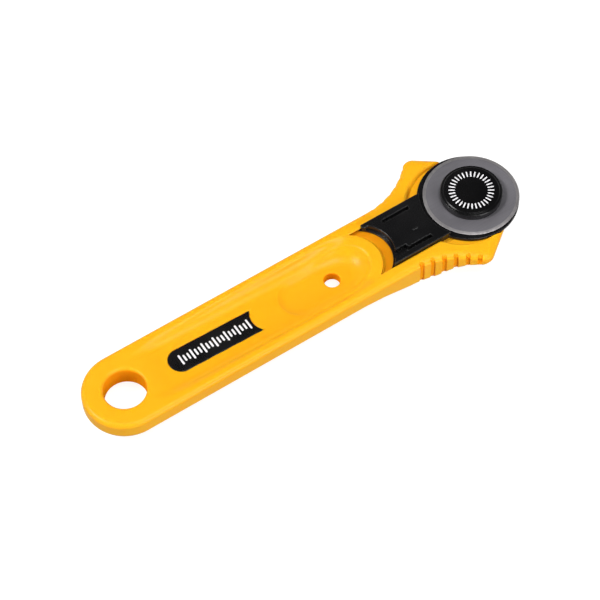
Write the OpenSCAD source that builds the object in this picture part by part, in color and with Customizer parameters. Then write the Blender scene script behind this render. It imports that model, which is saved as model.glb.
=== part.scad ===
// Rotary cutter with a 28 mm blade: moulded handle, sliding blade guard,
// free-turning blade on a capped bolt, wave washer and thumb nut.
// Frame: +X from the tail towards the blade, +Y left, +Z out of the blade face.
// Millimetres. The origin is the middle of the part's footprint, at its lowest point.

/* [Handle] */
// Width of the straight grip
grip_w = 24.3; // [22:0.1:27]
// Thickness of the grip
grip_t = 7.2; // [6.5:0.1:8]
// Distance from the blade axis to the hanging hole
tail_dist = 116.7; // [105:0.1:130]
// Radius of the hanging hole
hang_r = 6.05; // [4:0.05:7]
// Radius of the small hole in the thumb scoop
small_r = 2.35; // [1.5:0.05:3]
// Depth of the belly below the flat underside
belly_h = 2.8; // [1.5:0.1:3.5]
// Depth of the grip grooves in the wings
groove_r = 0.9; // [0.6:0.05:1.1]

/* [Blade] */
// Diameter of the blade
blade_d = 28; // [26:0.5:28]
// Thickness of the blade
blade_t = 0.3; // [0.2:0.05:0.4]
// Diameter of the blade's centre hole
blade_bore = 8; // [6:0.1:8]

/* [Guard] */
// Radius of the guard disc behind the blade
guard_r = 14.8; // [14.5:0.1:14.9]
// How far the guard slides back from the position drawn
guard_back = 2.9; // [2.5:0.1:3.1]
// How far the guard slides forward to cover the blade
guard_forward = 1.1; // [0.8:0.1:1.2]

/* [Bolt and nut] */
// Radius of the cap
cap_r = 9; // [8:0.1:9.2]
// Height of the cap above the blade
cap_h = 2.3; // [2:0.1:3.2]
// Radius of the thumb nut
nut_r = 8.4; // [7:0.1:9]
// Height of the thumb nut
nut_h = 4.6; // [3.5:0.1:4.8]

/* [Hidden] */
$fn = 96;
EPS = 0.01;
FAR = 60;                                   // longer than any cut needs

// Heights are counted from the top of the blade.
top_z = -0.1;                               // rails and wings
base_z = top_z - grip_t;                    // flat underside of the grip
belly_z = base_z - belly_h;                 // lowest point of the belly
floor_z = -1.45;                            // channel and head pocket
head_z = -3.2;                              // underside of the head
scoop_z = -3.4;                             // lowest point of the thumb scoop
gap = 0.05;                                 // running clearance
grip_r = grip_w / 2;

// Wings
flare_x = -28.5;
flare_r = 25.3;
flare_end = 43;                             // angle at which the flare turns straight
corner = [-8.38, grip_r + 9.48];
corner_r = 2.5;
front_ang = atan(0.75);
groove_count = 6;
groove_first = -15.8;                       // along the flank, from the end of the flare
groove_pitch = 3.35;
groove_down = 0.9;                          // solid left above the grooves
nose_r = 11;                                // the head ends in a straight edge this far out

// Guard
guard_x = -guard_forward;                   // disc centre as drawn
plate_hw = 8.1;
plate_top = 1.15;
guard_base = floor_z + gap;
disc_top = -blade_t - gap;
flange_w = 0.8;
flange_top = -0.7;
flange_front = -17.4;                       // where the foot along each side ends
tail_r = 10;
tail_x = -28.6;                             // middle of the plate's hollow tail edge
lip = 0.8;                                  // how far the foot of that edge reaches back
lip_h = 0.9;                                // thickness of that foot
slot_floor = -0.7;
slot_in = 5.3;                              // inner and outer side of the slots
slot_out = 6.4;
slot_wide_in = 4.2;                         // inner side of the open end of the right slot
slot_back = -26;
slot_front = -18;
left_slot_back = -27.2;
dash = [-21.5, -1.5];                       // raised mark on the plate
dash_size = [1.7, 0.35, 0.15];
ledge_z = 0.02;                             // the left side hangs over the rail from here up
ledge_hw = plate_hw + 0.35;
tip = [-32.4, 7.65];                        // round end of the left arm
tip_r = 0.78;
pin_y = 7.4;                                // short pin under that end
pin_r = 0.55;
pin_floor = -0.7;

// Channel behind the plate
crest_x = -32.9;
crest_r = 9.9;

// Bolt
shoulder_r = blade_bore / 2 - gap;
shank_r = 3;
shank_flat = 4.6;                           // across the flats
thread_r = 2;
flange_r = 5.5;
flange_h = 1;

washer_h = 0.6;
nut_top = head_z - washer_h - gap;

// From the blade axis to the middle of the whole part
tail_end = -tail_dist - grip_r;
shift = [-(tail_end + blade_d / 2) / 2, 0, -belly_z];

module place() { translate(shift) children(); }

module mirrored() {
    children();
    mirror([0, 1, 0]) children();
}

// A prism drawn in the X-Z plane and centred on the X axis
module side_prism(w) {
    translate([0, w / 2, 0]) rotate([90, 0, 0]) linear_extrude(w) children();
}

// What a rounded edge of radius r leaves out of a square corner
module edge_waste(r) {
    translate([-r, -r]) difference() {
        square(r + 1);
        circle(r);
    }
}

// ---------------------------------------------------------------- handle

// Corner of a wing: its two tangent points and the centre between them
half_open = (180 - flare_end - front_ang) / 2;
corner_dir = (front_ang - flare_end) / 2 - 90;
corner_c = corner + corner_r / sin(half_open) * [cos(corner_dir), sin(corner_dir)];
flank_point = corner_c + corner_r * [-sin(flare_end), cos(flare_end)];
front_point = corner_c + corner_r * [sin(front_ang), cos(front_ang)];
nose_len = (nose_r - front_point[0]) / cos(front_ang);
nose_point = front_point + nose_len * [cos(front_ang), -sin(front_ang)];

// The flank between the grip and the wing is a hollow arc.
flare_c = [flare_x, grip_r + flare_r];
flare_stop = flare_c + flare_r * [sin(flare_end), -cos(flare_end)];

module handle_outline() {
    wing = [[tail_end, grip_r], [flare_x, grip_r], flare_stop, corner, nose_point];
    difference() {
        polygon(concat(wing, [for (i = [len(wing) - 1:-1:0]) [wing[i][0], -wing[i][1]]]));
        mirrored() translate(flare_c) circle(flare_r);
        mirrored() corner_waste();
        tail_waste();
    }
}

module corner_waste() {
    reach = 1.2;
    difference() {
        polygon([corner_c, corner_c + reach * (flank_point - corner_c),
                 corner_c + 2 * (corner - corner_c), corner_c + reach * (front_point - corner_c)]);
        translate(corner_c) circle(corner_r);
    }
}

module tail_waste() {
    difference() {
        translate([tail_end - 1, -grip_r - 1]) square([grip_r + 1, grip_w + 2]);
        translate([-tail_dist, 0]) circle(grip_r);
    }
}

// Side view: flat underside, belly under the channel, thin head
head_back = -7.5;                           // the thin head ends here
belly_start = -45;                          // the belly starts to drop here
// Steps of the belly: where they are, and how far below the head or above the lowest point
head_step = [-10.5, 0.8];
belly_steps = [[-18, 0.9], [-21, 0], [-27, 0.1], [-31, 0.6]];
module handle_side() {
    polygon(concat([[tail_end, top_z], [FAR, top_z], [FAR, head_z], [head_back, head_z],
                    [head_step[0], head_z - head_step[1]]],
                   [for (s = belly_steps) [s[0], belly_z + s[1]]],
                   [[belly_start, base_z], [tail_end, base_z]]));
}

top_round = 1.5;
base_round = 2;

module outer_rounding(r, z, up) {
    run = tail_dist + flare_x;
    translate([0, 0, z]) mirror([0, 0, up ? 0 : 1]) {
        mirrored() translate([-tail_dist, grip_r, 0]) rotate([90, 0, 90])
            linear_extrude(up ? run : run - 16) edge_waste(r);
        translate([-tail_dist, 0, 0]) rotate([0, 0, 90])
            rotate_extrude(angle = 180) translate([grip_r, 0]) edge_waste(r);
    }
}

module hole_rounding(x, hole_r, r, z, up) {
    translate([x, 0, z]) mirror([0, 0, up ? 0 : 1]) rotate_extrude()
        translate([hole_r, 0]) mirror([1, 0]) edge_waste(r);
}

// Long trough between the rails, falling towards the thumb scoop
trough_start = -109;
trough_step = -103.5;
trough_drop = -1.35;
trough_end = -58;
trough_front = -45;                         // where the trough is back at the top
front_rise = 3;                             // length of its sloping front
trough_hw = 9.6;                            // half width at the top, and on the floor
trough_floor_hw = 7;
slope = atan((trough_drop - scoop_z) / (trough_end - trough_step));
module trough() {
    intersection() {
        side_prism(grip_w)
            polygon([[trough_start, top_z], [trough_step, trough_drop], [trough_end, scoop_z],
                     [trough_front - front_rise, scoop_z], [trough_front, top_z],
                     [trough_front, 1], [trough_start, 1]]);
        translate([trough_start, 0, top_z]) rotate([90, 0, 90])
            linear_extrude(trough_front - trough_start)
            polygon([[-trough_hw, 0], [-trough_floor_hw, scoop_z], [trough_floor_hw, scoop_z],
                     [trough_hw, 0], [trough_hw, 1], [-trough_hw, 1]]);
    }
}

scoop_x = -49;
scoop_long_r = 39;
scoop_cross_r = 14.5;
module thumb_scoop() {
    translate([scoop_x, 0, scoop_z + scoop_long_r]) rotate([90, 0, 0]) rotate_extrude()
        translate([scoop_long_r - scoop_cross_r, 0]) circle(scoop_cross_r);
}

module channel() {
    back_x = crest_x - crest_r;
    difference() {
        union() {
            translate([back_x, -plate_hw - 2 * gap, floor_z])
                cube([-back_x, 2 * plate_hw + 4 * gap, FAR]);
            translate([back_x, -plate_hw - flange_w - gap, floor_z])
                cube([-back_x, 2 * (plate_hw + flange_w + gap), flange_top + gap - floor_z]);
        }
        translate([back_x, 0, floor_z - 1]) cylinder(r = crest_r, h = FAR);
    }
}

pocket_r = guard_r + 0.4;
module head_pocket() {
    travel = guard_back + guard_forward;
    translate([0, 0, floor_z]) {
        cylinder(r = pocket_r, h = FAR);
        translate([-travel, 0, 0]) cylinder(r = pocket_r, h = FAR);
        translate([-travel, -pocket_r, 0]) cube([travel, 2 * pocket_r, FAR]);
    }
}

// Upright grooves in the wing flanks, round at the top and open at the bottom
module grooves() {
    top = top_z - groove_down - groove_r;
    for (i = [0:groove_count - 1]) {
        along = groove_first + groove_pitch * i;
        ang = flare_end + min(along, 0) / flare_r * 180 / PI;
        on_arc = flare_c + flare_r * [sin(ang), -cos(ang)];
        at = on_arc + max(along, 0) * [cos(flare_end), sin(flare_end)];
        translate([at[0], at[1], top - FAR]) cylinder(r = groove_r, h = FAR);
        translate([at[0], at[1], top]) sphere(r = groove_r);
    }
}

module label_shape(grow) {
    r = 3.75 + grow;
    back = -98.6;
    front = -73.9 + grow;
    notch_r = 5.7;
    difference() {
        union() {
            translate([back, 0]) circle(r);
            translate([back, -r]) square([front - back, 2 * r]);
        }
        translate([front + sqrt(notch_r * notch_r - r * r), 0]) circle(notch_r);
    }
}

// The label lies on the sloping floor of the trough.
label_t = 0.4;
module on_trough_floor() {
    translate([trough_step, 0, trough_drop]) rotate([0, slope, 0])
        translate([-trough_step, 0, 0]) children();
}

hole_round = 1;
small_x = -48.35;                           // middle of the small hole
module handle() color([0.98, 0.74, 0.14]) place() difference() {
    intersection() {
        translate([0, 0, belly_z - 1]) linear_extrude(-belly_z + 1 + top_z) handle_outline();
        side_prism(FAR) handle_side();
    }
    outer_rounding(top_round, top_z, true);
    outer_rounding(base_round, base_z, false);
    trough();
    thumb_scoop();
    channel();
    head_pocket();
    mirrored() grooves();
    translate([-tail_dist, 0, base_z - 1]) cylinder(r = hang_r, h = grip_t + 2);
    hole_rounding(-tail_dist, hang_r, hole_round, top_z, true);
    hole_rounding(-tail_dist, hang_r, 0.8 * hole_round, base_z, false);
    translate([small_x, 0, base_z - 1]) cylinder(r = small_r, h = grip_t);
    on_trough_floor() translate([0, 0, -label_t]) linear_extrude(1) label_shape(gap);
    translate([0, 0, head_z - 1]) d_shank(shank_r + gap, shank_flat + 2 * gap, FAR);
}

module label_plate() color([0.06, 0.05, 0.06]) place() on_trough_floor()
    translate([0, 0, -label_t]) linear_extrude(label_t) label_shape(0);

// ---------------------------------------------------------------- guard

module slot(back, front, inner) {
    translate([back, inner, slot_floor]) cube([front - back, slot_out - inner, FAR]);
}

module guard_slots() {
    slot(left_slot_back, slot_front, slot_in);
    // On the right the slot widens and runs out at the tail.
    mirror([0, 1, 0]) {
        slot(slot_back, slot_front, slot_in);
        slot(tail_x - tail_r, slot_back + EPS, slot_wide_in);
    }
}

module guard_plate(hw, back_x, front_x, base, top) {
    translate([back_x, -hw, base]) cube([front_x - back_x, 2 * hw, top - base]);
}

module blade_guard() color([0.09, 0.09, 0.1]) place() {
    travel = guard_back + guard_forward;
    arm_x = tail_x - tail_r;
    slot_r = shoulder_r + 3 * gap;
    plate_front = guard_x - 10;             // well inside the disc
    difference() {
        union() {
            translate([guard_x, 0, guard_base]) cylinder(r = guard_r, h = disc_top - guard_base);
            difference() {
                union() {
                    guard_plate(plate_hw, arm_x, plate_front, guard_base, plate_top);
                    guard_plate(plate_hw + flange_w, arm_x, flange_front, guard_base, flange_top);
                    translate([arm_x, 0, ledge_z])
                        cube([plate_front - arm_x, ledge_hw, plate_top - ledge_z]);
                }
                translate([arm_x, 0, guard_base + lip_h]) cylinder(r = tail_r, h = FAR);
                translate([arm_x - lip, 0, guard_base - 1]) cylinder(r = tail_r, h = FAR);
                translate([guard_x, 0, disc_top]) cylinder(r = blade_d / 2 + 3 * gap, h = FAR);
            }
            translate([tip[0], tip[1], ledge_z]) {
                cylinder(r = tip_r, h = plate_top - ledge_z);
                translate([0, -tip_r, 0]) cube([2, 2 * tip_r, plate_top - ledge_z]);
            }
            translate([tip[0], pin_y, pin_floor]) cylinder(r = pin_r, h = ledge_z - pin_floor + 0.5);
        }
        guard_slots();
        translate([0, 0, guard_base - 1]) {
            translate([guard_x, 0, 0]) cylinder(r = slot_r, h = FAR);
            translate([guard_x + travel, 0, 0]) cylinder(r = slot_r, h = FAR);
            translate([guard_x, -slot_r, 0]) cube([travel, 2 * slot_r, FAR]);
        }
    }
    translate([dash[0], dash[1], plate_top - EPS]) cube(dash_size);
}

// ---------------------------------------------------------------- blade, bolt and nut

bevel = 0.9;                                // width of the ground edge
module blade() color([0.47, 0.46, 0.48]) place() rotate_extrude()
    polygon([[blade_bore / 2, 0], [blade_d / 2 - bevel, 0], [blade_d / 2, -blade_t / 2],
             [blade_d / 2 - bevel, -blade_t], [blade_bore / 2, -blade_t]]);

module d_shank(r, across, h) {
    intersection() {
        cylinder(r = r, h = h);
        translate([-r, -across / 2, 0]) cube([2 * r, across, h]);
    }
}

thread_end = nut_top - nut_h + 0.6;
module blade_bolt() color([0.7, 0.7, 0.72]) place() {
    translate([0, 0, gap]) cylinder(r = flange_r, h = flange_h);
    translate([0, 0, floor_z + EPS]) cylinder(r = shoulder_r, h = gap - floor_z);
    translate([0, 0, head_z + 0.2]) d_shank(shank_r, shank_flat, floor_z - head_z);
    translate([0, 0, thread_end]) cylinder(r = thread_r, h = head_z - thread_end + 0.5);
}

module bolt_cap() color([0.07, 0.07, 0.08]) place() difference() {
    step = 0.2;
    border = 0.95;                          // width of the lowered rim
    rim = cap_h - step;
    top_r = cap_r - border;
    rotate_extrude() polygon([[0, gap], [cap_r - 0.1, gap], [cap_r, gap + 0.1], [cap_r, rim - step],
        [cap_r - step, rim], [top_r + step, rim], [top_r, cap_h], [0, cap_h]]);
    translate([0, 0, gap - 1]) cylinder(r = flange_r + EPS, h = flange_h + EPS + 1);
}

// Ring cut out of a shallow arched strip: its two ends touch the head, its middle the nut.
washer_r = 6.5;
washer_t = 0.3;
module wave_washer() color([0.75, 0.75, 0.76]) place() {
    rise = washer_h - washer_t - gap;
    arch_r = (washer_r * washer_r + rise * rise) / (2 * rise);
    intersection() {
        translate([0, 0, head_z - gap / 2 - rise - washer_t + arch_r + washer_t]) side_ring(arch_r);
        translate([0, 0, nut_top - 1]) difference() {
            cylinder(r = washer_r, h = 3);
            translate([0, 0, -1]) cylinder(r = shank_r + 0.3, h = 5);
        }
    }
}
module side_ring(arch_r) {
    side_prism(2 * washer_r + 2) difference() {
        circle(arch_r + washer_t, $fn = 360);
        circle(arch_r, $fn = 360);
    }
}

insert_r = 3.6;
module thumb_nut() color([0.08, 0.08, 0.09]) place() difference() {
    lobes = 12;
    translate([0, 0, nut_top - nut_h]) rotate_extrude()
        polygon([[0, 0], [nut_r - 0.6, 0], [nut_r, 0.6], [nut_r, nut_h - 1],
                 [nut_r - 0.5, nut_h - 0.5], [washer_r, nut_h], [0, nut_h]]);
    scallop_r = 1.3;
    scallop_depth = 0.6;
    for (i = [0:lobes - 1]) rotate(i * 360 / lobes)
        translate([nut_r + scallop_r - scallop_depth, 0, nut_top - nut_h - 1])
            cylinder(r = scallop_r, h = nut_h + 2);
    translate([0, 0, nut_top - nut_h - 1]) cylinder(r = insert_r, h = nut_h + 2);
}

module nut_insert() color([0.78, 0.62, 0.3]) place() difference() {
    translate([0, 0, nut_top - nut_h + 0.3]) cylinder(r = insert_r - EPS, h = nut_h - 0.3);
    translate([0, 0, nut_top - nut_h - 1]) cylinder(r = thread_r + gap, h = nut_h + 2);
}

handle();
label_plate();
blade_guard();
blade();
blade_bolt();
bolt_cap();
wave_washer();
thumb_nut();
nut_insert();
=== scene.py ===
import math

import bmesh
import bpy
import numpy as np
from mathutils import Matrix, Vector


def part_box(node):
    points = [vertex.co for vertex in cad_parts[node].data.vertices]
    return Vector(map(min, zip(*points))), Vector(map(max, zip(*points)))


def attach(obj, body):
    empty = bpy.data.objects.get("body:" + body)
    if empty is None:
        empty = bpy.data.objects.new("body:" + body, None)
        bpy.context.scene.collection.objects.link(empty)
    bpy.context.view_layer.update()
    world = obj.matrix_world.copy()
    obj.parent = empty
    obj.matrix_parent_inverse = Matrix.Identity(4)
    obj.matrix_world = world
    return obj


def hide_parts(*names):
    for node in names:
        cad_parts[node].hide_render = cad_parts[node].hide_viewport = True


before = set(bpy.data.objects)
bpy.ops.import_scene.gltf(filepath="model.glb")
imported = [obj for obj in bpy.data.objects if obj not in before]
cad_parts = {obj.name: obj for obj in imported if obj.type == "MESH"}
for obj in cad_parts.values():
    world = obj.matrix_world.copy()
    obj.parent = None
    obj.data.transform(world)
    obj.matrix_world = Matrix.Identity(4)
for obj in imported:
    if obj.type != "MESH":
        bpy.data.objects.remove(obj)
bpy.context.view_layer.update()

MM = 0.001

# The shapes below are drawn in millimetres about the blade's axis, with z counted from the
# blade's open face. HOME is that point in the row frame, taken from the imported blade.
_lo, _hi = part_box("blade")
HOME = np.array([(_lo[0] + _hi[0]) / 2, (_lo[1] + _hi[1]) / 2, _hi[2]])


# ------------------------------------------------------------ distance fields
def rmax(a, b, r):
    """Where both shapes overlap, with the edge between them rounded to radius r."""
    return np.minimum(-r, np.maximum(a, b)) + np.hypot(np.maximum(a + r, 0), np.maximum(b + r, 0))


def cut(a, b, r):
    """Shape a without shape b, with the edge rounded to radius r."""
    return rmax(a, -b, r)


def smin(a, b, k):
    """Both shapes together, blended over a width of about k."""
    h = np.maximum(k - np.abs(a - b), 0) / k
    return np.minimum(a, b) - h * h * k / 4


def smoothstep(a, b, x):
    t = np.clip((x - a) / (b - a), 0, 1)
    return t * t * (3 - 2 * t)


class Profile:
    """A smooth curve through a few points, softened over about `soft` millimetres."""

    def __init__(self, points, soft, step=0.2):
        p = np.array(points, float)
        self.x = np.arange(p[0, 0] - 6, p[-1, 0] + 6, step)
        v = np.interp(self.x, p[:, 0], p[:, 1])
        n = int(4 * soft / step) + 1
        w = np.exp(-0.5 * (np.arange(-n, n + 1) * step / soft) ** 2)
        self.v = np.convolve(np.pad(v, n, mode="edge"), w / w.sum(), mode="valid")
        self.cos = 1 / np.hypot(1, np.gradient(self.v, step))

    def __call__(self, x):
        return np.interp(x, self.x, self.v)

    def up(self, x, z):
        """Distance above the curve, roughly square to it."""
        return (z - self(x)) * np.interp(x, self.x, self.cos)


SETTLE_STEPS, SETTLE_REACH, SLOPE_STEP, NORMAL_STEP, FLATTEST = 4, 0.12, 0.01, 0.04, 0.2


def net(field, xs, ys, zs, name):
    """A closed quad mesh of the surface field = 0, from one vertex in each cell of the grid,
    moved onto the surface, with normals taken from the field. The grid has to reach past
    the shape on every side, or the mesh would be open and its faces wrong."""
    shape = (len(xs), len(ys), len(zs))
    f = np.ascontiguousarray(
        np.broadcast_to(field(xs[:, None, None], ys[None, :, None], zs[None, None, :]), shape))
    inside = f < 0
    if any(np.take(inside, (0, -1), axis=axis).any() for axis in range(3)):
        raise ValueError(name + " reaches the edge of its grid")
    cells = tuple(n - 1 for n in shape)
    count = np.zeros(cells, int)
    corners = [(i, j, k) for i in (0, 1) for j in (0, 1) for k in (0, 1)]

    def part(a, o):
        return a[o[0]:o[0] + cells[0], o[1]:o[1] + cells[1], o[2]:o[2] + cells[2]]

    for o in corners:
        count += part(inside, o)
    active = (count > 0) & (count < 8)
    index = np.full(cells, -1)
    index[active] = np.arange(active.sum())
    total = np.zeros((active.sum(), 3))
    hits = np.zeros(active.sum())
    grid = (xs, ys, zs)
    faces = []
    for axis in range(3):
        a, b = (axis + 1) % 3, (axis + 2) % 3
        lo = [slice(None)] * 3
        hi = [slice(None)] * 3
        lo[axis], hi[axis] = slice(None, -1), slice(1, None)
        f0, f1 = f[tuple(lo)], f[tuple(hi)]
        at = np.argwhere((f0 < 0) != (f1 < 0))
        v0, v1 = f0[tuple(at.T)], f1[tuple(at.T)]
        t = v0 / (v0 - v1)
        p = np.empty((len(at), 3))
        for k in range(3):
            p[:, k] = grid[k][at[:, k]]
        p[:, axis] += t * (grid[axis][at[:, axis] + 1] - grid[axis][at[:, axis]])
        ring = []
        for da, db in ((-1, -1), (0, -1), (0, 0), (-1, 0)):
            cell = at.copy()
            cell[:, a] += da
            cell[:, b] += db
            ids = index[tuple(cell.T)]
            np.add.at(total, ids, p)
            np.add.at(hits, ids, 1)
            ring.append(ids)
        ring = np.stack(ring, axis=1)
        flip = v0 > 0
        ring[flip] = ring[flip][:, ::-1]
        faces.append(ring)
    verts = total / hits[:, None]
    faces = np.concatenate(faces)

    def value(p):
        return field(p[:, 0], p[:, 1], p[:, 2])

    def slope(p, e):
        return np.stack([(value(p + d) - value(p - d)) / (2 * e) for d in np.eye(3) * e], axis=1)

    for _ in range(SETTLE_STEPS):
        g = slope(verts, SLOPE_STEP)
        step = value(verts)[:, None] * g / np.maximum((g * g).sum(1, keepdims=True), FLATTEST)
        verts = verts - np.clip(step, -SETTLE_REACH, SETTLE_REACH)
    g = slope(verts, NORMAL_STEP)
    normals = g / np.maximum(np.linalg.norm(g, axis=1, keepdims=True), 1e-9)
    return build(name, verts, faces, normals)


def build(name, verts, faces, normals=None):
    """A Blender object from points in millimetres about the blade's axis."""
    mesh = bpy.data.meshes.new(name)
    mesh.from_pydata((verts * MM + HOME).tolist(), [], [[int(i) for i in face] for face in faces])
    mesh.validate()
    mesh.update()
    for p in mesh.polygons:
        p.use_smooth = True
    if normals is not None:
        mesh.normals_split_custom_set_from_vertices(normals.tolist())
    ob = bpy.data.objects.new(name, mesh)
    bpy.context.scene.collection.objects.link(ob)
    return ob


def lathe(name, profile, turns=192, slots=None):
    """Turns a closed outline of (radius, height) points about the blade's axis."""
    p = np.array(profile, float)
    n, ang = len(p), np.linspace(0, 2 * math.pi, turns, endpoint=False)
    verts = np.stack([np.outer(np.cos(ang), p[:, 0]), np.outer(np.sin(ang), p[:, 0]),
                      np.outer(np.ones(turns), p[:, 1])], axis=2).reshape(-1, 3)
    faces, which = [], []
    for i in range(turns):
        a, b = i * n, ((i + 1) % turns) * n
        for j in range(n):
            k = (j + 1) % n
            quad = [a + j, b + j, b + k, a + k]
            if p[j, 0] == 0 and p[k, 0] == 0:
                continue
            if p[j, 0] == 0:
                quad = [j, b + k, a + k]
            elif p[k, 0] == 0:
                quad = [a + j, b + j, k]
            faces.append(quad)
            which.append(slots[j] if slots else 0)
    ob = build(name, verts, [tuple(q) for q in faces])
    bm_clean(ob)
    return ob, which


def bm_clean(ob):
    """Drops points that no face uses, and turns every face outwards."""
    bm = bmesh.new()
    bm.from_mesh(ob.data)
    loose = [v for v in bm.verts if not v.link_faces]
    bmesh.ops.delete(bm, geom=loose, context="VERTS")
    bmesh.ops.recalc_face_normals(bm, faces=bm.faces)
    bm.to_mesh(ob.data)
    bm.free()


def rounded(points, r, steps=4):
    """The outline with each corner rounded to radius r, or to its own third number."""
    out = []
    n = len(points)
    for i, q in enumerate(points):
        p = np.array(q[:2], float)
        rad = q[2] if len(q) > 2 else r
        a = np.array(points[i - 1][:2], float) - p
        b = np.array(points[(i + 1) % n][:2], float) - p
        la, lb = np.linalg.norm(a), np.linalg.norm(b)
        if rad <= 0 or la == 0 or lb == 0:
            out.append(tuple(p))
            continue
        half = math.acos(np.clip(a @ b / la / lb, -1, 1)) / 2
        back = min(rad / math.tan(half), la * 0.49, lb * 0.49)
        s, e = p + a / la * back, p + b / lb * back
        for t in np.linspace(0, 1, steps + 1):
            out.append(tuple((1 - t) ** 2 * s + 2 * t * (1 - t) * p + t * t * e))
    return out


def spaced(a, b, step):
    """Evenly spaced values from a to b, about a step apart."""
    return np.linspace(a, b, max(2, int(round((b - a) / step)) + 1))


# ------------------------------------------------------------ handle
TAIL_X, GRIP_R, TOP, BASE = -116.7, 12.15, -0.1, -7.3
FLOOR, HEAD_Z = -1.45, -3.2
FLARE_C, FLARE_R, FLARE_END = (-28.5, 37.45), 25.3, math.radians(43)
CORNER, FRONT_N, FRONT_X = (-8.38, 21.63), (0.6, 0.8), 11
POCKET_R, TRAVEL = 14.95, 4.0
HANG_R, SMALL_X, SMALL_R = 6.05, -48.35, 2.35
BORE_R, BORE_FLAT = 3.05, 2.35
CHANNEL_HALF, FLANGE_HALF, FLANGE_TOP = 8.2, 9.0, -0.65
CREST_X, CREST_R = -42.8, 9.9
BELLY = Profile([(-60, BASE), (-45, BASE), (-38, -7.95), (-33, -8.95), (-29, -9.75), (-25, -10.0),
                 (-20.6, -10.0), (-18.8, -9.3), (-14.8, -7.1), (-12.5, -5.3), (-10.3, -3.9),
                 (-8.5, HEAD_Z), (20, HEAD_Z)], 0.7)
TROUGH_SLOPE = -0.04505
TROUGH_HALF, TROUGH_LEAN, TROUGH_ROUND = 9.5, 0.28, 2.9


def trough_line(x):
    """Height of the trough's straight floor."""
    return -1.35 + TROUGH_SLOPE * (x + 103.5)


TROUGH = Profile([(-114, 1.2), (-110.5, 0.25), (-107.5, -0.55), (-104.5, -1.15),
                  (-101, trough_line(-101)), (-58, trough_line(-58)), (-54, -3.45), (-50, -3.1),
                  (-45.6, -2.3), (-41, -1.25), (-37.5, -0.2), (-35, 0.8), (-30, 3)], 1.1)
DISH_ENDS, DISH_R, DISH_FLOOR, DISH_COVE = (-59.2, -44.6), 8.7, -3.95, 5.0


def plan(x, y):
    """The handle's outline from above."""
    ay = np.abs(y)
    fx, fy = FLARE_C
    rho = np.hypot(x - fx, ay - fy)
    phi = np.arctan2(x - fx, fy - ay)
    flank = -math.sin(FLARE_END) * (x - CORNER[0]) + math.cos(FLARE_END) * (ay - CORNER[1])
    side = np.where(x < fx, ay - GRIP_R, np.where(phi > FLARE_END, flank, FLARE_R - rho))
    front = FRONT_N[0] * (x - CORNER[0]) + FRONT_N[1] * (ay - CORNER[1])
    d = rmax(rmax(side, front, 2.5), x - FRONT_X, 1.5)
    return np.where(x < TAIL_X, np.hypot(x - TAIL_X, y) - GRIP_R, d)


GROOVE_COUNT, GROOVE_FIRST, GROOVE_PITCH = 6, -16.05, 3.35


def groove_centres():
    """Places of the grip grooves along the flare and the flank, each with its outward direction."""
    out = []
    for i in range(GROOVE_COUNT):
        along = GROOVE_FIRST + GROOVE_PITCH * i
        ang = FLARE_END + min(along, 0) / FLARE_R
        n = np.array([-math.sin(ang), math.cos(ang)])
        p = np.array(FLARE_C) - FLARE_R * n
        p = p + max(along, 0) * np.array([math.cos(FLARE_END), math.sin(FLARE_END)])
        out.append((p, n))
    return out


LABEL_R, LABEL_BACK, LABEL_FRONT, NOTCH_R = 3.75, -98.6, -73.9, 5.7
NOTCH_X = LABEL_FRONT + math.sqrt(NOTCH_R ** 2 - LABEL_R ** 2)


def label_plan(x, y, grow, horns):
    """Outline of the label, one end round and the other hollow."""
    r = LABEL_R + grow
    body = np.hypot(np.minimum(x - LABEL_BACK, 0), y) - r
    body = np.maximum(body, x - LABEL_FRONT - horns)
    return cut(body, np.hypot(x - NOTCH_X, y) - NOTCH_R + grow, 0.02)


GROOVES = groove_centres()
GROOVE_HALF, GROOVE_IN = 0.62, 1.4
GROOVE_DEPTH = Profile([(-12, 0.6), (-2.5, 0.6), (-1.2, 0.3), (-0.15, 0.22), (3, 0.2)], 0.12, 0.05)


def groove_depth(x, y, z):
    """How deep the grip grooves are; on the left wing they start lower down."""
    left = np.where(y > 0, 0.12 + 0.88 * smoothstep(-1.0, -2.4, z), 1)
    return GROOVE_DEPTH(z) * left * smoothstep(0.2, 2.0, z - BELLY(x))


def groove_plan(x, ay):
    """Distance to the nearest grip groove, seen from above."""
    d = np.full(np.broadcast(x, ay).shape, 9.0)
    for p, n in GROOVES:
        along = (x - p[0]) * n[1] - (ay - p[1]) * n[0]
        off = (x - p[0]) * n[0] + (ay - p[1]) * n[1]
        tail = np.maximum(GROOVE_HALF - GROOVE_IN - off, 0)
        d = np.minimum(d, np.hypot(along, tail) - GROOVE_HALF)
    return d


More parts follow.
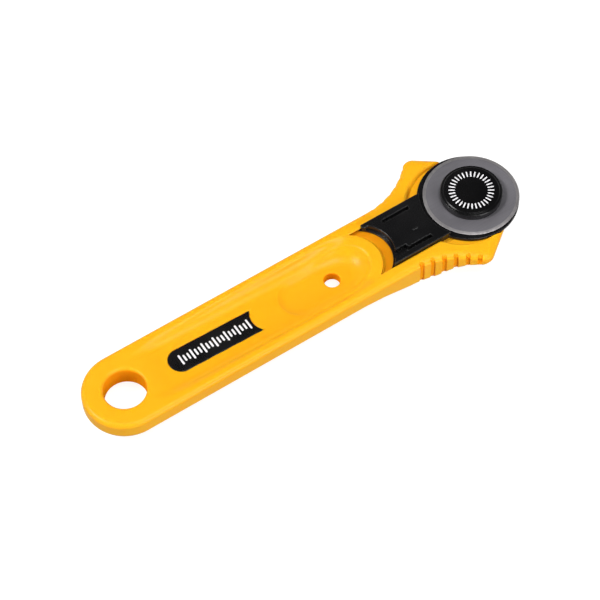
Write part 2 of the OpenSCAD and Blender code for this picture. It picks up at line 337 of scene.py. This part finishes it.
def handle_field(x, y, z):
    ay = np.abs(y)
    out = plan(x, y)
    base_r = 2.8 - 2.0 * smoothstep(-17, -9.5, x)
    wing = smoothstep(-40, -24, x)
    wide, high = 1.5 + 1.1 * wing, 1.5 - 0.2 * wing
    d = rmax(out * high / wide, z - TOP, high)
    low = smoothstep(-high - 0.2, -high - 1.4, z - TOP)
    d = d + low * (np.maximum(out, z - TOP) - d)
    d = rmax(d, -BELLY.up(x, z), base_r)
    # Long trough and thumb dish
    trough = rmax(-TROUGH.up(x, z), (ay - TROUGH_HALF - TROUGH_LEAN * (z - TOP)) * 0.96, TROUGH_ROUND)
    cove = DISH_COVE + 1.8 * smoothstep(-50, -41, x)
    dish = rmax(np.hypot(x - np.clip(x, *DISH_ENDS), y) - DISH_R, DISH_FLOOR - z, cove)
    d = cut(d, smin(trough, dish, 0.25), 0.8)
    # Channel for the guard, with grooves for its flanges
    side = np.minimum(ay - CHANNEL_HALF, np.maximum(ay - FLANGE_HALF, z - FLANGE_TOP))
    rear = rmax(CREST_R - np.hypot(x - CREST_X, y), FLOOR - z, 0.7)
    channel = np.maximum(np.maximum(side, rear), CREST_X - x)
    d = cut(d, channel, 0.22)
    # Pocket for the guard's disc, its wall leaning out on the left wing
    far = smoothstep(-2, 2, y)
    reach = np.hypot(x - np.clip(x, -TRAVEL, 0), y) - POCKET_R
    pocket = rmax((reach - 0.55 * far * (z - FLOOR)) * 0.93, FLOOR - z, 0.15)
    d = cut(d, pocket, 0.3 + 0.4 * far)
    # Holes
    d = cut(d, np.hypot(x - TAIL_X, y) - HANG_R, 1.0)
    d = cut(d, np.hypot(x - SMALL_X, y) - SMALL_R, 0.3)
    d = cut(d, np.maximum(np.hypot(x, y) - BORE_R, ay - BORE_FLAT), 0.1)
    # Seat of the label
    seat = np.maximum(label_plan(x, y, 0.08, 1.3), trough_line(x) - 0.4 - z)
    d = cut(d, seat, 0.08)
    # Grip grooves, shallow on the rounded edge and running out above the belly
    deep = groove_depth(x, y, z)
    return cut(d, np.maximum(groove_plan(x, ay), -d - deep), 0.15)


xs = np.concatenate([spaced(-129.6, -100, 0.42)[:-1], spaced(-100, -52, 0.8)[:-1], spaced(-52, 12, 0.3)])
handle = net(handle_field, xs, spaced(-21.6, 21.6, 0.3), spaced(-10.5, 0.5, 0.28), "handle_body")

# Two point attributes paint shade into the yellow: the first is painted shade in the grip grooves, on the
# hole walls and in the pocket by the disc, the second a painted shadow on the channel's floor behind the
# guard
co = (np.array([v.co for v in handle.data.vertices]) - HOME) / MM
hx, hy, hz = co.T
grip = smoothstep(0.2, -0.15, groove_plan(hx, np.abs(hy)))
grip = grip * smoothstep(0.05, 0.3, groove_depth(hx, hy, hz))
under = smoothstep(0.25, 0.9, TOP - hz)
on_floor = under * (hz > FLOOR - 0.2)
walls = np.minimum(np.hypot(hx - TAIL_X, hy) - HANG_R - 0.25, np.hypot(hx - SMALL_X, hy) - SMALL_R - 0.1)
walls = smoothstep(0.2, -0.1, walls) * under * 0.55
# Painted shadow of the crest on the channel's floor behind the guard
around = np.hypot(hx - CREST_X, hy)
crest = smoothstep(10.1, 11.3, around) * smoothstep(14.5, 13.5, around)
crest = crest * (hx > -37) * (np.abs(hy) < 9.1) * on_floor
seat = smoothstep(15.8, 15.0, np.hypot(hx - np.clip(hx, -TRAVEL, 0), hy)) * on_floor * 0.1
seat = seat * smoothstep(-2, 2, hy)
painted_recess_shade = np.maximum.reduce([grip * 0.5, walls, seat])
handle.data.attributes.new("painted_recess_shade", "FLOAT", "POINT").data.foreach_set("value", painted_recess_shade)
handle.data.attributes.new("shade", "FLOAT", "POINT").data.foreach_set("value", crest * 0.65)
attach(handle, "handle")
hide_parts("handle")


# ------------------------------------------------------------ label
def label_field(x, y, z):
    up = (z - trough_line(x)) * 0.999
    d = rmax(label_plan(x, y, 0, 0), up, 0.12)
    return rmax(d, -up - 0.36, 0.05)


label = net(label_field, spaced(-102.6, -73.4, 0.22), spaced(-4, 4, 0.2), spaced(-3.4, -1.1, 0.12),
            "label_body")
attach(label, "handle")
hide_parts("label_plate")


def marks(name, bars, lift, height):
    """Flat raised marks: each bar is (x, y, angle, half length, half width)."""
    verts, faces = [], []
    for x, y, ang, hl, hw in bars:
        c, s = math.cos(ang), math.sin(ang)
        ring = []
        for sx, a0 in ((1, -90), (-1, 90)):
            for a in np.radians(np.linspace(a0, a0 + 180, 7)):
                ring.append((sx * (hl - hw) + hw * math.cos(a), hw * math.sin(a)))
        base = len(verts)
        for h, shrink in ((-0.02, 1.0), (height * 0.6, 1.0), (height, 0.93)):
            for u, v in ring:
                u, v = u * shrink, v * shrink
                px, py = x + c * u - s * v, y + s * u + c * v
                verts.append((px, py, lift(px, py) + h))
        n = len(ring)
        for level in (0, 1):
            for i in range(n):
                j = (i + 1) % n
                a, b = base + level * n, base + (level + 1) * n
                faces.append((a + i, a + j, b + j, b + i))
        faces.append(tuple(base + 2 * n + i for i in range(n)))
        faces.append(tuple(base + i for i in reversed(range(n))))
    return build(name, np.array(verts), faces)


MARK_H = 0.03
BAR_COUNT, BAR_PITCH, BAR_LONG, BAR_SHORT, BAR_HALF = 19, 1.23, 1.75, 1.1, 0.3
bars = []
for i in range(BAR_COUNT):
    tall = BAR_LONG if i % 3 == 0 else BAR_SHORT
    bars.append((LABEL_BACK + BAR_PITCH * i, 0.0, math.pi / 2, tall, BAR_HALF))
label_print = marks("label_print", bars, lambda x, y: trough_line(x), MARK_H)
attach(label_print, "handle")


# ------------------------------------------------------------ guard
GUARD_X, GUARD_BASE, DISC_TOP, PLATE_TOP, LEDGE = -1.1, -1.33, -0.35, 1.15, 0.02
DISC_R, DISC_SEAT_R, BOLT_SLOT_R = 14.8, 14.15, 4.1
PLATE_HALF, LEDGE_HALF, FOOT_HALF, FOOT_TOP, FOOT_FRONT = 8.1, 8.45, 8.9, -0.7, -17.4
HOLLOW_X, FOOT_X, REAR_R = -38.6, -39.4, 10
TIP_X, TIP_Y, TIP_R, PIN_Y, PIN_R = -32.4, 7.65, 0.78, 7.4, 0.55
SLOT_FLOOR, DASH_H = -0.7, 0.24


def box2(x, y, x0, x1, y0, y1):
    """Distance to a rectangle seen from above."""
    along = np.abs(x - (x0 + x1) / 2) - (x1 - x0) / 2
    across = np.abs(y - (y0 + y1) / 2) - (y1 - y0) / 2
    return np.maximum(along, across)


def guard_field(x, y, z):
    ay = np.abs(y)
    disc = rmax(np.hypot(x - GUARD_X, y) - DISC_R, z - DISC_TOP, 0.22)
    disc = rmax(disc, GUARD_BASE - z, 0.15)
    # Thumb plate, with a ledge on its left side and a wider foot that runs in the channel
    hollow = REAR_R - np.hypot(x - HOLLOW_X, y)
    foot = REAR_R - np.hypot(x - FOOT_X, y)
    high = rmax(rmax(ay - PLATE_HALF, z - PLATE_TOP, 0.28), hollow, 0.25)
    ledge = rmax(rmax(y - LEDGE_HALF, z - PLATE_TOP, 0.28), hollow, 0.25)
    ledge = rmax(ledge, LEDGE - z, 0.08)
    high = np.minimum(high, np.maximum(ledge, 5 - y))
    low = rmax(rmax(ay - FOOT_HALF, z - FOOT_TOP, 0.1), rmax(foot, z + 0.5, 0.12), 0.15)
    low = rmax(low, x - FOOT_FRONT, 0.2)
    body = rmax(np.minimum(high, low), GUARD_BASE - z, 0.1)
    body = np.maximum(body, np.maximum(x - GUARD_X + 6, HOLLOW_X - x))
    body = cut(body, np.maximum(np.hypot(x - GUARD_X, y) - DISC_SEAT_R, DISC_TOP - z), 0.2)
    d = np.minimum(disc, body)
    # Round tip of the spring arm, with a pin under it
    tip = rmax(np.hypot(x - np.clip(x, TIP_X, -30), y - TIP_Y) - TIP_R, z - PLATE_TOP, 0.28)
    tip = rmax(tip, LEDGE - z, 0.1)
    pin = rmax(np.hypot(x - TIP_X, y - PIN_Y) - PIN_R, np.maximum(SLOT_FLOOR - z, z - 0.5), 0.1)
    d = np.minimum(np.minimum(d, tip), pin)
    # Two blind slots, the gap beside the arm, and the opening for the bolt
    slots = np.minimum(box2(x, y, -27.2, -18, 5.3, 6.4), box2(x, y, -26, -18, -6.4, -5.3))
    slots = np.minimum(slots, box2(x, y, -40, -25.9, -6.4, -4.2))
    slots = np.maximum(slots, SLOT_FLOOR - z)
    d = cut(d, slots, 0.12)
    d = cut(d, np.hypot(x - np.clip(x, GUARD_X, GUARD_X + TRAVEL), y) - BOLT_SLOT_R, 0.1)
    # Small raised dash
    dash = rmax(box2(x, y, -21.6, -19.7, -1.55, -1.05), z - PLATE_TOP - DASH_H, 0.1)
    return np.minimum(d, np.maximum(dash, -z))


guard = net(guard_field, spaced(-35.4, 14.3, 0.2), spaced(-15.3, 15.3, 0.2), spaced(-1.7, 1.6, 0.15),
            "guard_body")
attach(guard, "guard")
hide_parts("blade_guard")

# ------------------------------------------------------------ blade, cap, bolt
BLADE_R, BLADE_T = 14.0, 0.3
BLADE_BORE, GRIND_R = 4.0, 13.05
blade_line = [(BLADE_BORE, -0.02), (4.02, 0.0), (12.95, 0.0), (GRIND_R, -0.004), (13.98, -0.142),
              (BLADE_R, -BLADE_T / 2), (13.98, -0.158), (GRIND_R, -0.296), (12.95, -BLADE_T),
              (4.02, -BLADE_T), (BLADE_BORE, -0.28)]
blade, blade_slots = lathe("blade_disc", blade_line, 384, [0, 0, 0, 1, 1, 1, 1, 0, 0, 0, 0])
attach(blade, "blade")
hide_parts("blade")

CAP_TOP = 2.3
CAP_R = 9.0
cap_line = rounded([(0, 0.05, 0), (8.9, 0.05, 0.05), (CAP_R, 0.18, 0.05), (CAP_R, 1.9, 0.12),
                    (8.78, 2.1, 0.12), (8.3, 2.1, 0.08), (8.05, CAP_TOP, 0.1), (0, CAP_TOP, 0)], 0.1, 5)
cap, _ = lathe("cap_body", cap_line, 256)
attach(cap, "handle")
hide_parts("bolt_cap")

TICK_COUNT, TICK_R, TICK_LONG, TICK_HALF = 32, 5.7, 0.95, 0.2
ring = []
for i in range(TICK_COUNT):
    a = 2 * math.pi * i / TICK_COUNT
    ring.append((TICK_R * math.cos(a), TICK_R * math.sin(a), a, TICK_LONG, TICK_HALF))
cap_print = marks("cap_print", ring, lambda x, y: CAP_TOP, MARK_H)
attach(cap_print, "handle")


THREAD_LEAD, THREAD_DEPTH, BOLT_ROOT, NUT_ROOT = 0.7, 0.37, 1.62, 1.68


def tooth(ang, z):
    """The thread's height at an angle and a level, from 0 to 1."""
    turn = ang / (2 * math.pi) - z / THREAD_LEAD
    return np.abs((turn - np.floor(turn)) * 2 - 1)


def bolt_field(x, y, z):
    rho = np.hypot(x, y)
    flange = rmax(rmax(rho - 5.45, z - 1.02, 0.15), 0.07 - z, 0.1)
    neck = rmax(rho - 3.95, np.maximum(z - 0.2, -1.42 - z), 0.05)
    shank = rmax(rmax(rho - 3.0, np.abs(y) - 2.3, 0.1), np.maximum(z + 1.3, -3.0 - z), 0.05)
    screw = (rho - BOLT_ROOT - THREAD_DEPTH * tooth(np.arctan2(y, x), z)) * 0.75
    screw = rmax(screw, np.maximum(z + 2.9, -7.85 - z), 0.15)
    return np.minimum(np.minimum(flange, neck), np.minimum(shank, screw))


bolt = net(bolt_field, spaced(-5.8, 5.8, 0.16), spaced(-5.8, 5.8, 0.16), spaced(-8.1, 1.3, 0.1), "bolt_body")
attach(bolt, "handle")
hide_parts("blade_bolt")

# ------------------------------------------------------------ nut
NUT_TOP, NUT_H, NUT_R, SCALLOPS, INSERT_R = -3.85, 4.6, 8.4, 12, 3.56


def nut_field(x, y, z):
    rho, ang = np.hypot(x, y), np.arctan2(y, x)
    body = rmax(rho - NUT_R, NUT_TOP - NUT_H - z, 0.9)
    crown = (z - NUT_TOP) * 0.83 + (rho - 6.5) * 0.55
    body = rmax(rmax(body, crown, 0.4), z - NUT_TOP, 0.1)
    sector = 2 * math.pi / SCALLOPS
    a = (ang + sector / 2) % sector - sector / 2
    body = cut(body, np.hypot(rho * np.cos(a) - 9.1, rho * np.sin(a)) - 1.3, 0.35)
    dish = rmax(rho - 6.1, z - (NUT_TOP - NUT_H) - 0.35, 0.2)
    body = cut(body, dish, 0.2)
    return cut(body, rho - 3.62, 0.05)


nut = net(nut_field, spaced(-8.8, 8.8, 0.2), spaced(-8.8, 8.8, 0.2), spaced(-8.8, -3.5, 0.16), "nut_body")
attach(nut, "nut")
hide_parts("thumb_nut")


def insert_field(x, y, z):
    rho, ang = np.hypot(x, y), np.arctan2(y, x)
    body = rmax(rho - INSERT_R, np.maximum(z - NUT_TOP, NUT_TOP - NUT_H + 0.3 - z), 0.12)
    return rmax(body, (NUT_ROOT + THREAD_DEPTH * tooth(ang, z) - rho) * 0.75, 0.05)


insert = net(insert_field, spaced(-3.8, 3.8, 0.13), spaced(-3.8, 3.8, 0.13), spaced(-8.5, -3.6, 0.1),
             "insert_body")
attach(insert, "nut")
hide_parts("nut_insert")


# ------------------------------------------------------------ materials
class Mat:
    """A Principled material with a few helpers for its node tree."""

    def __init__(self, name):
        self.m = bpy.data.materials.new(name)
        self.m.use_nodes = True
        self.t = self.m.node_tree
        self.b = self.t.nodes["Principled BSDF"]
        self.at = self.node("ShaderNodeTexCoord").outputs["Object"]

    def node(self, kind, **values):
        n = self.t.nodes.new(kind)
        for k, v in values.items():
            setattr(n, k, v)
        return n

    def link(self, a, b):
        self.t.links.new(a, b)

    def stretch(self, scale):
        m = self.node("ShaderNodeMapping")
        m.inputs["Scale"].default_value = scale
        self.link(self.at, m.inputs["Vector"])
        return m.outputs[0]

    def noise(self, scale, detail=4, rough=0.55, at=None):
        n = self.node("ShaderNodeTexNoise")
        n.inputs["Scale"].default_value = scale
        n.inputs["Detail"].default_value = detail
        n.inputs["Roughness"].default_value = rough
        self.link(at or self.at, n.inputs["Vector"])
        return n.outputs["Fac"]

    def span(self, value, a, b, lo, hi):
        n = self.node("ShaderNodeMapRange")
        n.inputs["From Min"].default_value = a
        n.inputs["From Max"].default_value = b
        n.inputs["To Min"].default_value = lo
        n.inputs["To Max"].default_value = hi
        self.link(value, n.inputs["Value"])
        return n.outputs[0]

    def math(self, op, a, b):
        n = self.node("ShaderNodeMath", operation=op)
        for k, v in ((0, a), (1, b)):
            if hasattr(v, "links"):
                self.link(v, n.inputs[k])
            else:
                n.inputs[k].default_value = v
        return n.outputs[0]

    def mix(self, fac, a, b):
        n = self.node("ShaderNodeMix", data_type="RGBA")
        self.link(fac, n.inputs["Factor"])
        for k, v in (("A", a), ("B", b)):
            s = next(i for i in n.inputs if i.name == k and i.type == "RGBA")
            if hasattr(v, "links"):
                self.link(v, s)
            else:
                s.default_value = (*v, 1)
        return next(o for o in n.outputs if o.type == "RGBA")

    def bump(self, height, strength, distance, below=None):
        n = self.node("ShaderNodeBump")
        n.inputs["Strength"].default_value = strength
        n.inputs["Distance"].default_value = distance
        self.link(height, n.inputs["Height"])
        if below is not None:
            self.link(below, n.inputs["Normal"])
        return n.outputs[0]

    def set(self, **values):
        for k, v in values.items():
            s = self.b.inputs[k.replace("_", " ")]
            if hasattr(v, "links"):
                self.link(v, s)
            else:
                s.default_value = v
        return self


def yellow_plastic():
    m = Mat("yellow_abs")
    cloud = m.noise(35, 3)
    base = m.mix(m.span(cloud, 0.3, 0.7, 0, 1), (0.94, 0.425, 0.008), (0.97, 0.455, 0.012))
    # Painted shade: grooves, hole walls and the pocket by the disc turn a darker orange and lose their
    # reflection
    painted_shade_fac = m.node("ShaderNodeAttribute", attribute_name="painted_recess_shade").outputs["Fac"]
    base = m.mix(painted_shade_fac, base, (0.86, 0.19, 0.0))
    # Painted shadow: the channel's floor behind the guard turns a darker orange
    shade = m.node("ShaderNodeAttribute", attribute_name="shade").outputs["Fac"]
    base = m.mix(shade, base, (0.66, 0.20, 0.0))
    grain = m.noise(5200, 2)
    swell = m.noise(160, 2)
    rough = m.math("ADD", m.span(cloud, 0.3, 0.7, 0.30, 0.37), m.span(grain, 0.3, 0.7, -0.02, 0.03))
    under = m.bump(swell, 0.12, 0.0003)
    m.set(Base_Color=base, Roughness=rough, Normal=m.bump(grain, 0.05, 0.00004, under))
    m.set(Subsurface_Weight=0.4, Subsurface_Radius=(1.0, 0.45, 0.1), Subsurface_Scale=0.0012, IOR=1.5,
          Specular_IOR_Level=m.span(painted_shade_fac, 0, 0.55, 0.16, 0))
    return m.m


def black_plastic(name, tone=0.011, rough=0.42, grain_size=4200):
    m = Mat(name)
    cloud = m.noise(90, 4)
    light = (tone * 1.5, tone * 1.45, tone * 1.55)
    base = m.mix(m.span(cloud, 0.3, 0.7, 0, 1), (tone, tone, tone * 1.1), light)
    grain = m.noise(grain_size, 3)
    r = m.math("ADD", m.span(cloud, 0.3, 0.7, rough - 0.05, rough + 0.06),
               m.span(grain, 0.3, 0.7, -0.05, 0.05))
    m.set(Base_Color=base, Roughness=r, Normal=m.bump(grain, 0.22, 0.00006), IOR=1.5,
          Specular_IOR_Level=0.38)
    return m.m


def print_white():
    m = Mat("print_white")
    fine = m.noise(2600, 3)
    base = m.mix(m.span(fine, 0.35, 0.65, 0, 1), (0.80, 0.79, 0.81), (0.90, 0.89, 0.91))
    m.set(Base_Color=base, Roughness=m.span(fine, 0.3, 0.7, 0.4, 0.55), Normal=m.bump(fine, 0.1, 0.00003))
    return m.m


def steel(name, dark, light, rough, streak=(60, 2600, 400), metallic=1.0):
    m = Mat(name)
    lines = m.noise(1.0, 4, 0.6, m.stretch(streak))
    cloud = m.noise(120, 4)
    fac = m.math("ADD", m.math("MULTIPLY", m.span(lines, 0.3, 0.7, 0, 1), 0.6),
                 m.math("MULTIPLY", m.span(cloud, 0.3, 0.7, 0, 1), 0.4))
    base = m.mix(fac, dark, light)
    r = m.math("ADD", m.span(cloud, 0.3, 0.7, rough - 0.03, rough + 0.04),
               m.span(lines, 0.3, 0.7, -0.04, 0.05))
    m.set(Base_Color=base, Metallic=metallic, Roughness=r, Normal=m.bump(lines, 0.10, 0.00003))
    return m.m


YELLOW = yellow_plastic()
GUARD_BLACK = black_plastic("guard_black", 0.0045, 0.26)
CAP_BLACK = black_plastic("cap_black", 0.003, 0.24, 5200)
LABEL_BLACK = black_plastic("label_black", 0.004, 0.28, 6000)
NUT_BLACK = black_plastic("nut_black", 0.006, 0.4)
WHITE = print_white()
BLADE_FLAT = steel("blade_flat", (0.195, 0.187, 0.205), (0.238, 0.230, 0.250), 0.44, metallic=0.5)
BLADE_EDGE = steel("blade_edge", (0.32, 0.305, 0.31), (0.44, 0.42, 0.425), 0.38, (900, 900, 40),
                   metallic=0.7)
BOLT = steel("bolt_steel", (0.45, 0.45, 0.46), (0.6, 0.6, 0.61), 0.32, (400, 400, 3000))
SPRING = steel("spring_steel", (0.42, 0.41, 0.40), (0.58, 0.57, 0.55), 0.35)
BRASS = steel("brass_turned", (0.55, 0.38, 0.13), (0.72, 0.53, 0.22), 0.3, (400, 400, 3000))


def paint(ob, *mats):
    ob.data.materials.clear()
    for m in mats:
        ob.data.materials.append(m)


paint(handle, YELLOW)
paint(label, LABEL_BLACK)
paint(label_print, WHITE)
paint(guard, GUARD_BLACK)
paint(cap, CAP_BLACK)
paint(cap_print, WHITE)
paint(bolt, BOLT)
paint(nut, NUT_BLACK)
paint(insert, BRASS)
paint(blade, BLADE_FLAT, BLADE_EDGE)
for poly, which in zip(blade.data.polygons, blade_slots):
    poly.material_index = which

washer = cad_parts["wave_washer"]
weld = washer.modifiers.new("weld", "WELD")
weld.merge_threshold = 0.00001
bevel = washer.modifiers.new("edges", "BEVEL")
bevel.width, bevel.segments, bevel.limit_method, bevel.angle_limit = 0.00006, 2, "ANGLE", 0.6
for s in washer.material_slots:
    s.material = SPRING


# ------------------------------------------------------------ floor, lights, camera
FLOOR_HALF = 3.0
floor_mesh = bpy.data.meshes.new("floor")
floor_mesh.from_pydata([(-FLOOR_HALF, -FLOOR_HALF, 0), (FLOOR_HALF, -FLOOR_HALF, 0),
                        (FLOOR_HALF, FLOOR_HALF, 0), (-FLOOR_HALF, FLOOR_HALF, 0)], [], [(0, 1, 2, 3)])
floor = bpy.data.objects.new("floor", floor_mesh)
bpy.context.scene.collection.objects.link(floor)
floor.visible_diffuse = floor.visible_glossy = False
FLOOR_GLOW = 0.88
pale = Mat("floor_pale")
soft = pale.span(pale.noise(14, 2), 0.3, 0.7, 0.86, 0.92)
pale.set(Base_Color=(0.28, 0.28, 0.28, 1), Roughness=soft, Emission_Color=(1, 1, 1, 1),
         Emission_Strength=FLOOR_GLOW)
pale.b.inputs["Specular IOR Level"].default_value = 0.1
floor.data.materials.append(pale.m)

# A studio with a bright wall all round and a dim ceiling
world = bpy.data.worlds.new("studio")
bpy.context.scene.world = world
world.use_nodes = True
wt = world.node_tree
sky = wt.nodes["Background"]
way = wt.nodes.new("ShaderNodeTexCoord")
split = wt.nodes.new("ShaderNodeSeparateXYZ")
ramp = wt.nodes.new("ShaderNodeFloatCurve")
half = wt.nodes.new("ShaderNodeMath")
half.operation = "MULTIPLY_ADD"
half.inputs[1].default_value = half.inputs[2].default_value = 0.5
wt.links.new(way.outputs["Generated"], split.inputs[0])
wt.links.new(split.outputs["Z"], half.inputs[0])
wt.links.new(half.outputs[0], ramp.inputs["Value"])
glow = ramp.mapping.curves[0]
glow.points[0].location, glow.points[1].location = (0.0, 0.55), (1.0, 0.06)
for height, level in ((0.44, 0.58), (0.54, 0.75), (0.64, 0.5), (0.8, 0.08)):
    glow.points.new(height, level)
ramp.mapping.update()
wt.links.new(ramp.outputs[0], sky.inputs["Strength"])
sky.inputs["Color"].default_value = (1.0, 1.0, 1.0, 1)


def lamp(name, turn, pitch, far, size, power):
    """A round soft light aimed at the part, `turn` degrees from +X and `pitch` above the floor."""
    data = bpy.data.lights.new(name, "AREA")
    data.shape, data.size, data.energy = "DISK", size, power
    ob = bpy.data.objects.new(name, data)
    bpy.context.scene.collection.objects.link(ob)
    a, e = math.radians(turn), math.radians(pitch)
    z = np.array([math.cos(a) * math.cos(e), math.sin(a) * math.cos(e), math.sin(e)])
    x = np.cross((0, 0, 1), z)
    x = x / np.linalg.norm(x)
    y = np.cross(z, x)
    at = z * far
    ob.matrix_world = Matrix([[x[i], y[i], z[i], at[i]] for i in range(3)] + [[0, 0, 0, 1]])


lamp("key", 155, 50, 3.0, 1.08, 67)
lamp("top", -66, 74, 1.0, 0.4, 3.9)
lamp("side", -82, 21, 1.0, 0.5, 5.1)

# Camera at the photograph's viewing angle: its place and directions in the row frame
CAM_LENS, CAM_SENSOR = 132.1667, 36.0
CAM_TURN, CAM_PITCH, CAM_ROLL = math.radians(31.96), math.radians(57.111), math.radians(-1.611)
CAM_FROM_BLADE = (-238.720, -287.604, 519.234)      # millimetres


def camera_axes(turn, pitch, roll):
    """The camera's right, down and forward directions."""
    right = np.array([math.cos(turn), -math.sin(turn), 0])
    away = np.array([math.sin(turn), math.cos(turn), 0])
    forward = math.cos(pitch) * away - np.array([0, 0, math.sin(pitch)])
    down = -math.sin(pitch) * away - np.array([0, 0, math.cos(pitch)])
    c, s = math.cos(roll), math.sin(roll)
    return c * right - s * down, s * right + c * down, forward


right, down, forward = camera_axes(CAM_TURN, CAM_PITCH, CAM_ROLL)
eye = HOME + np.array(CAM_FROM_BLADE) * MM
cam_data = bpy.data.cameras.new("camera")
cam_data.lens, cam_data.sensor_width = CAM_LENS, CAM_SENSOR
cam_data.clip_start, cam_data.clip_end = 0.01, 20
camera = bpy.data.objects.new("camera", cam_data)
bpy.context.scene.collection.objects.link(camera)
camera.matrix_world = Matrix([[right[i], -down[i], -forward[i], eye[i]] for i in range(3)] + [[0, 0, 0, 1]])
bpy.context.scene.camera = camera
bpy.context.scene.view_settings.view_transform = "Standard"
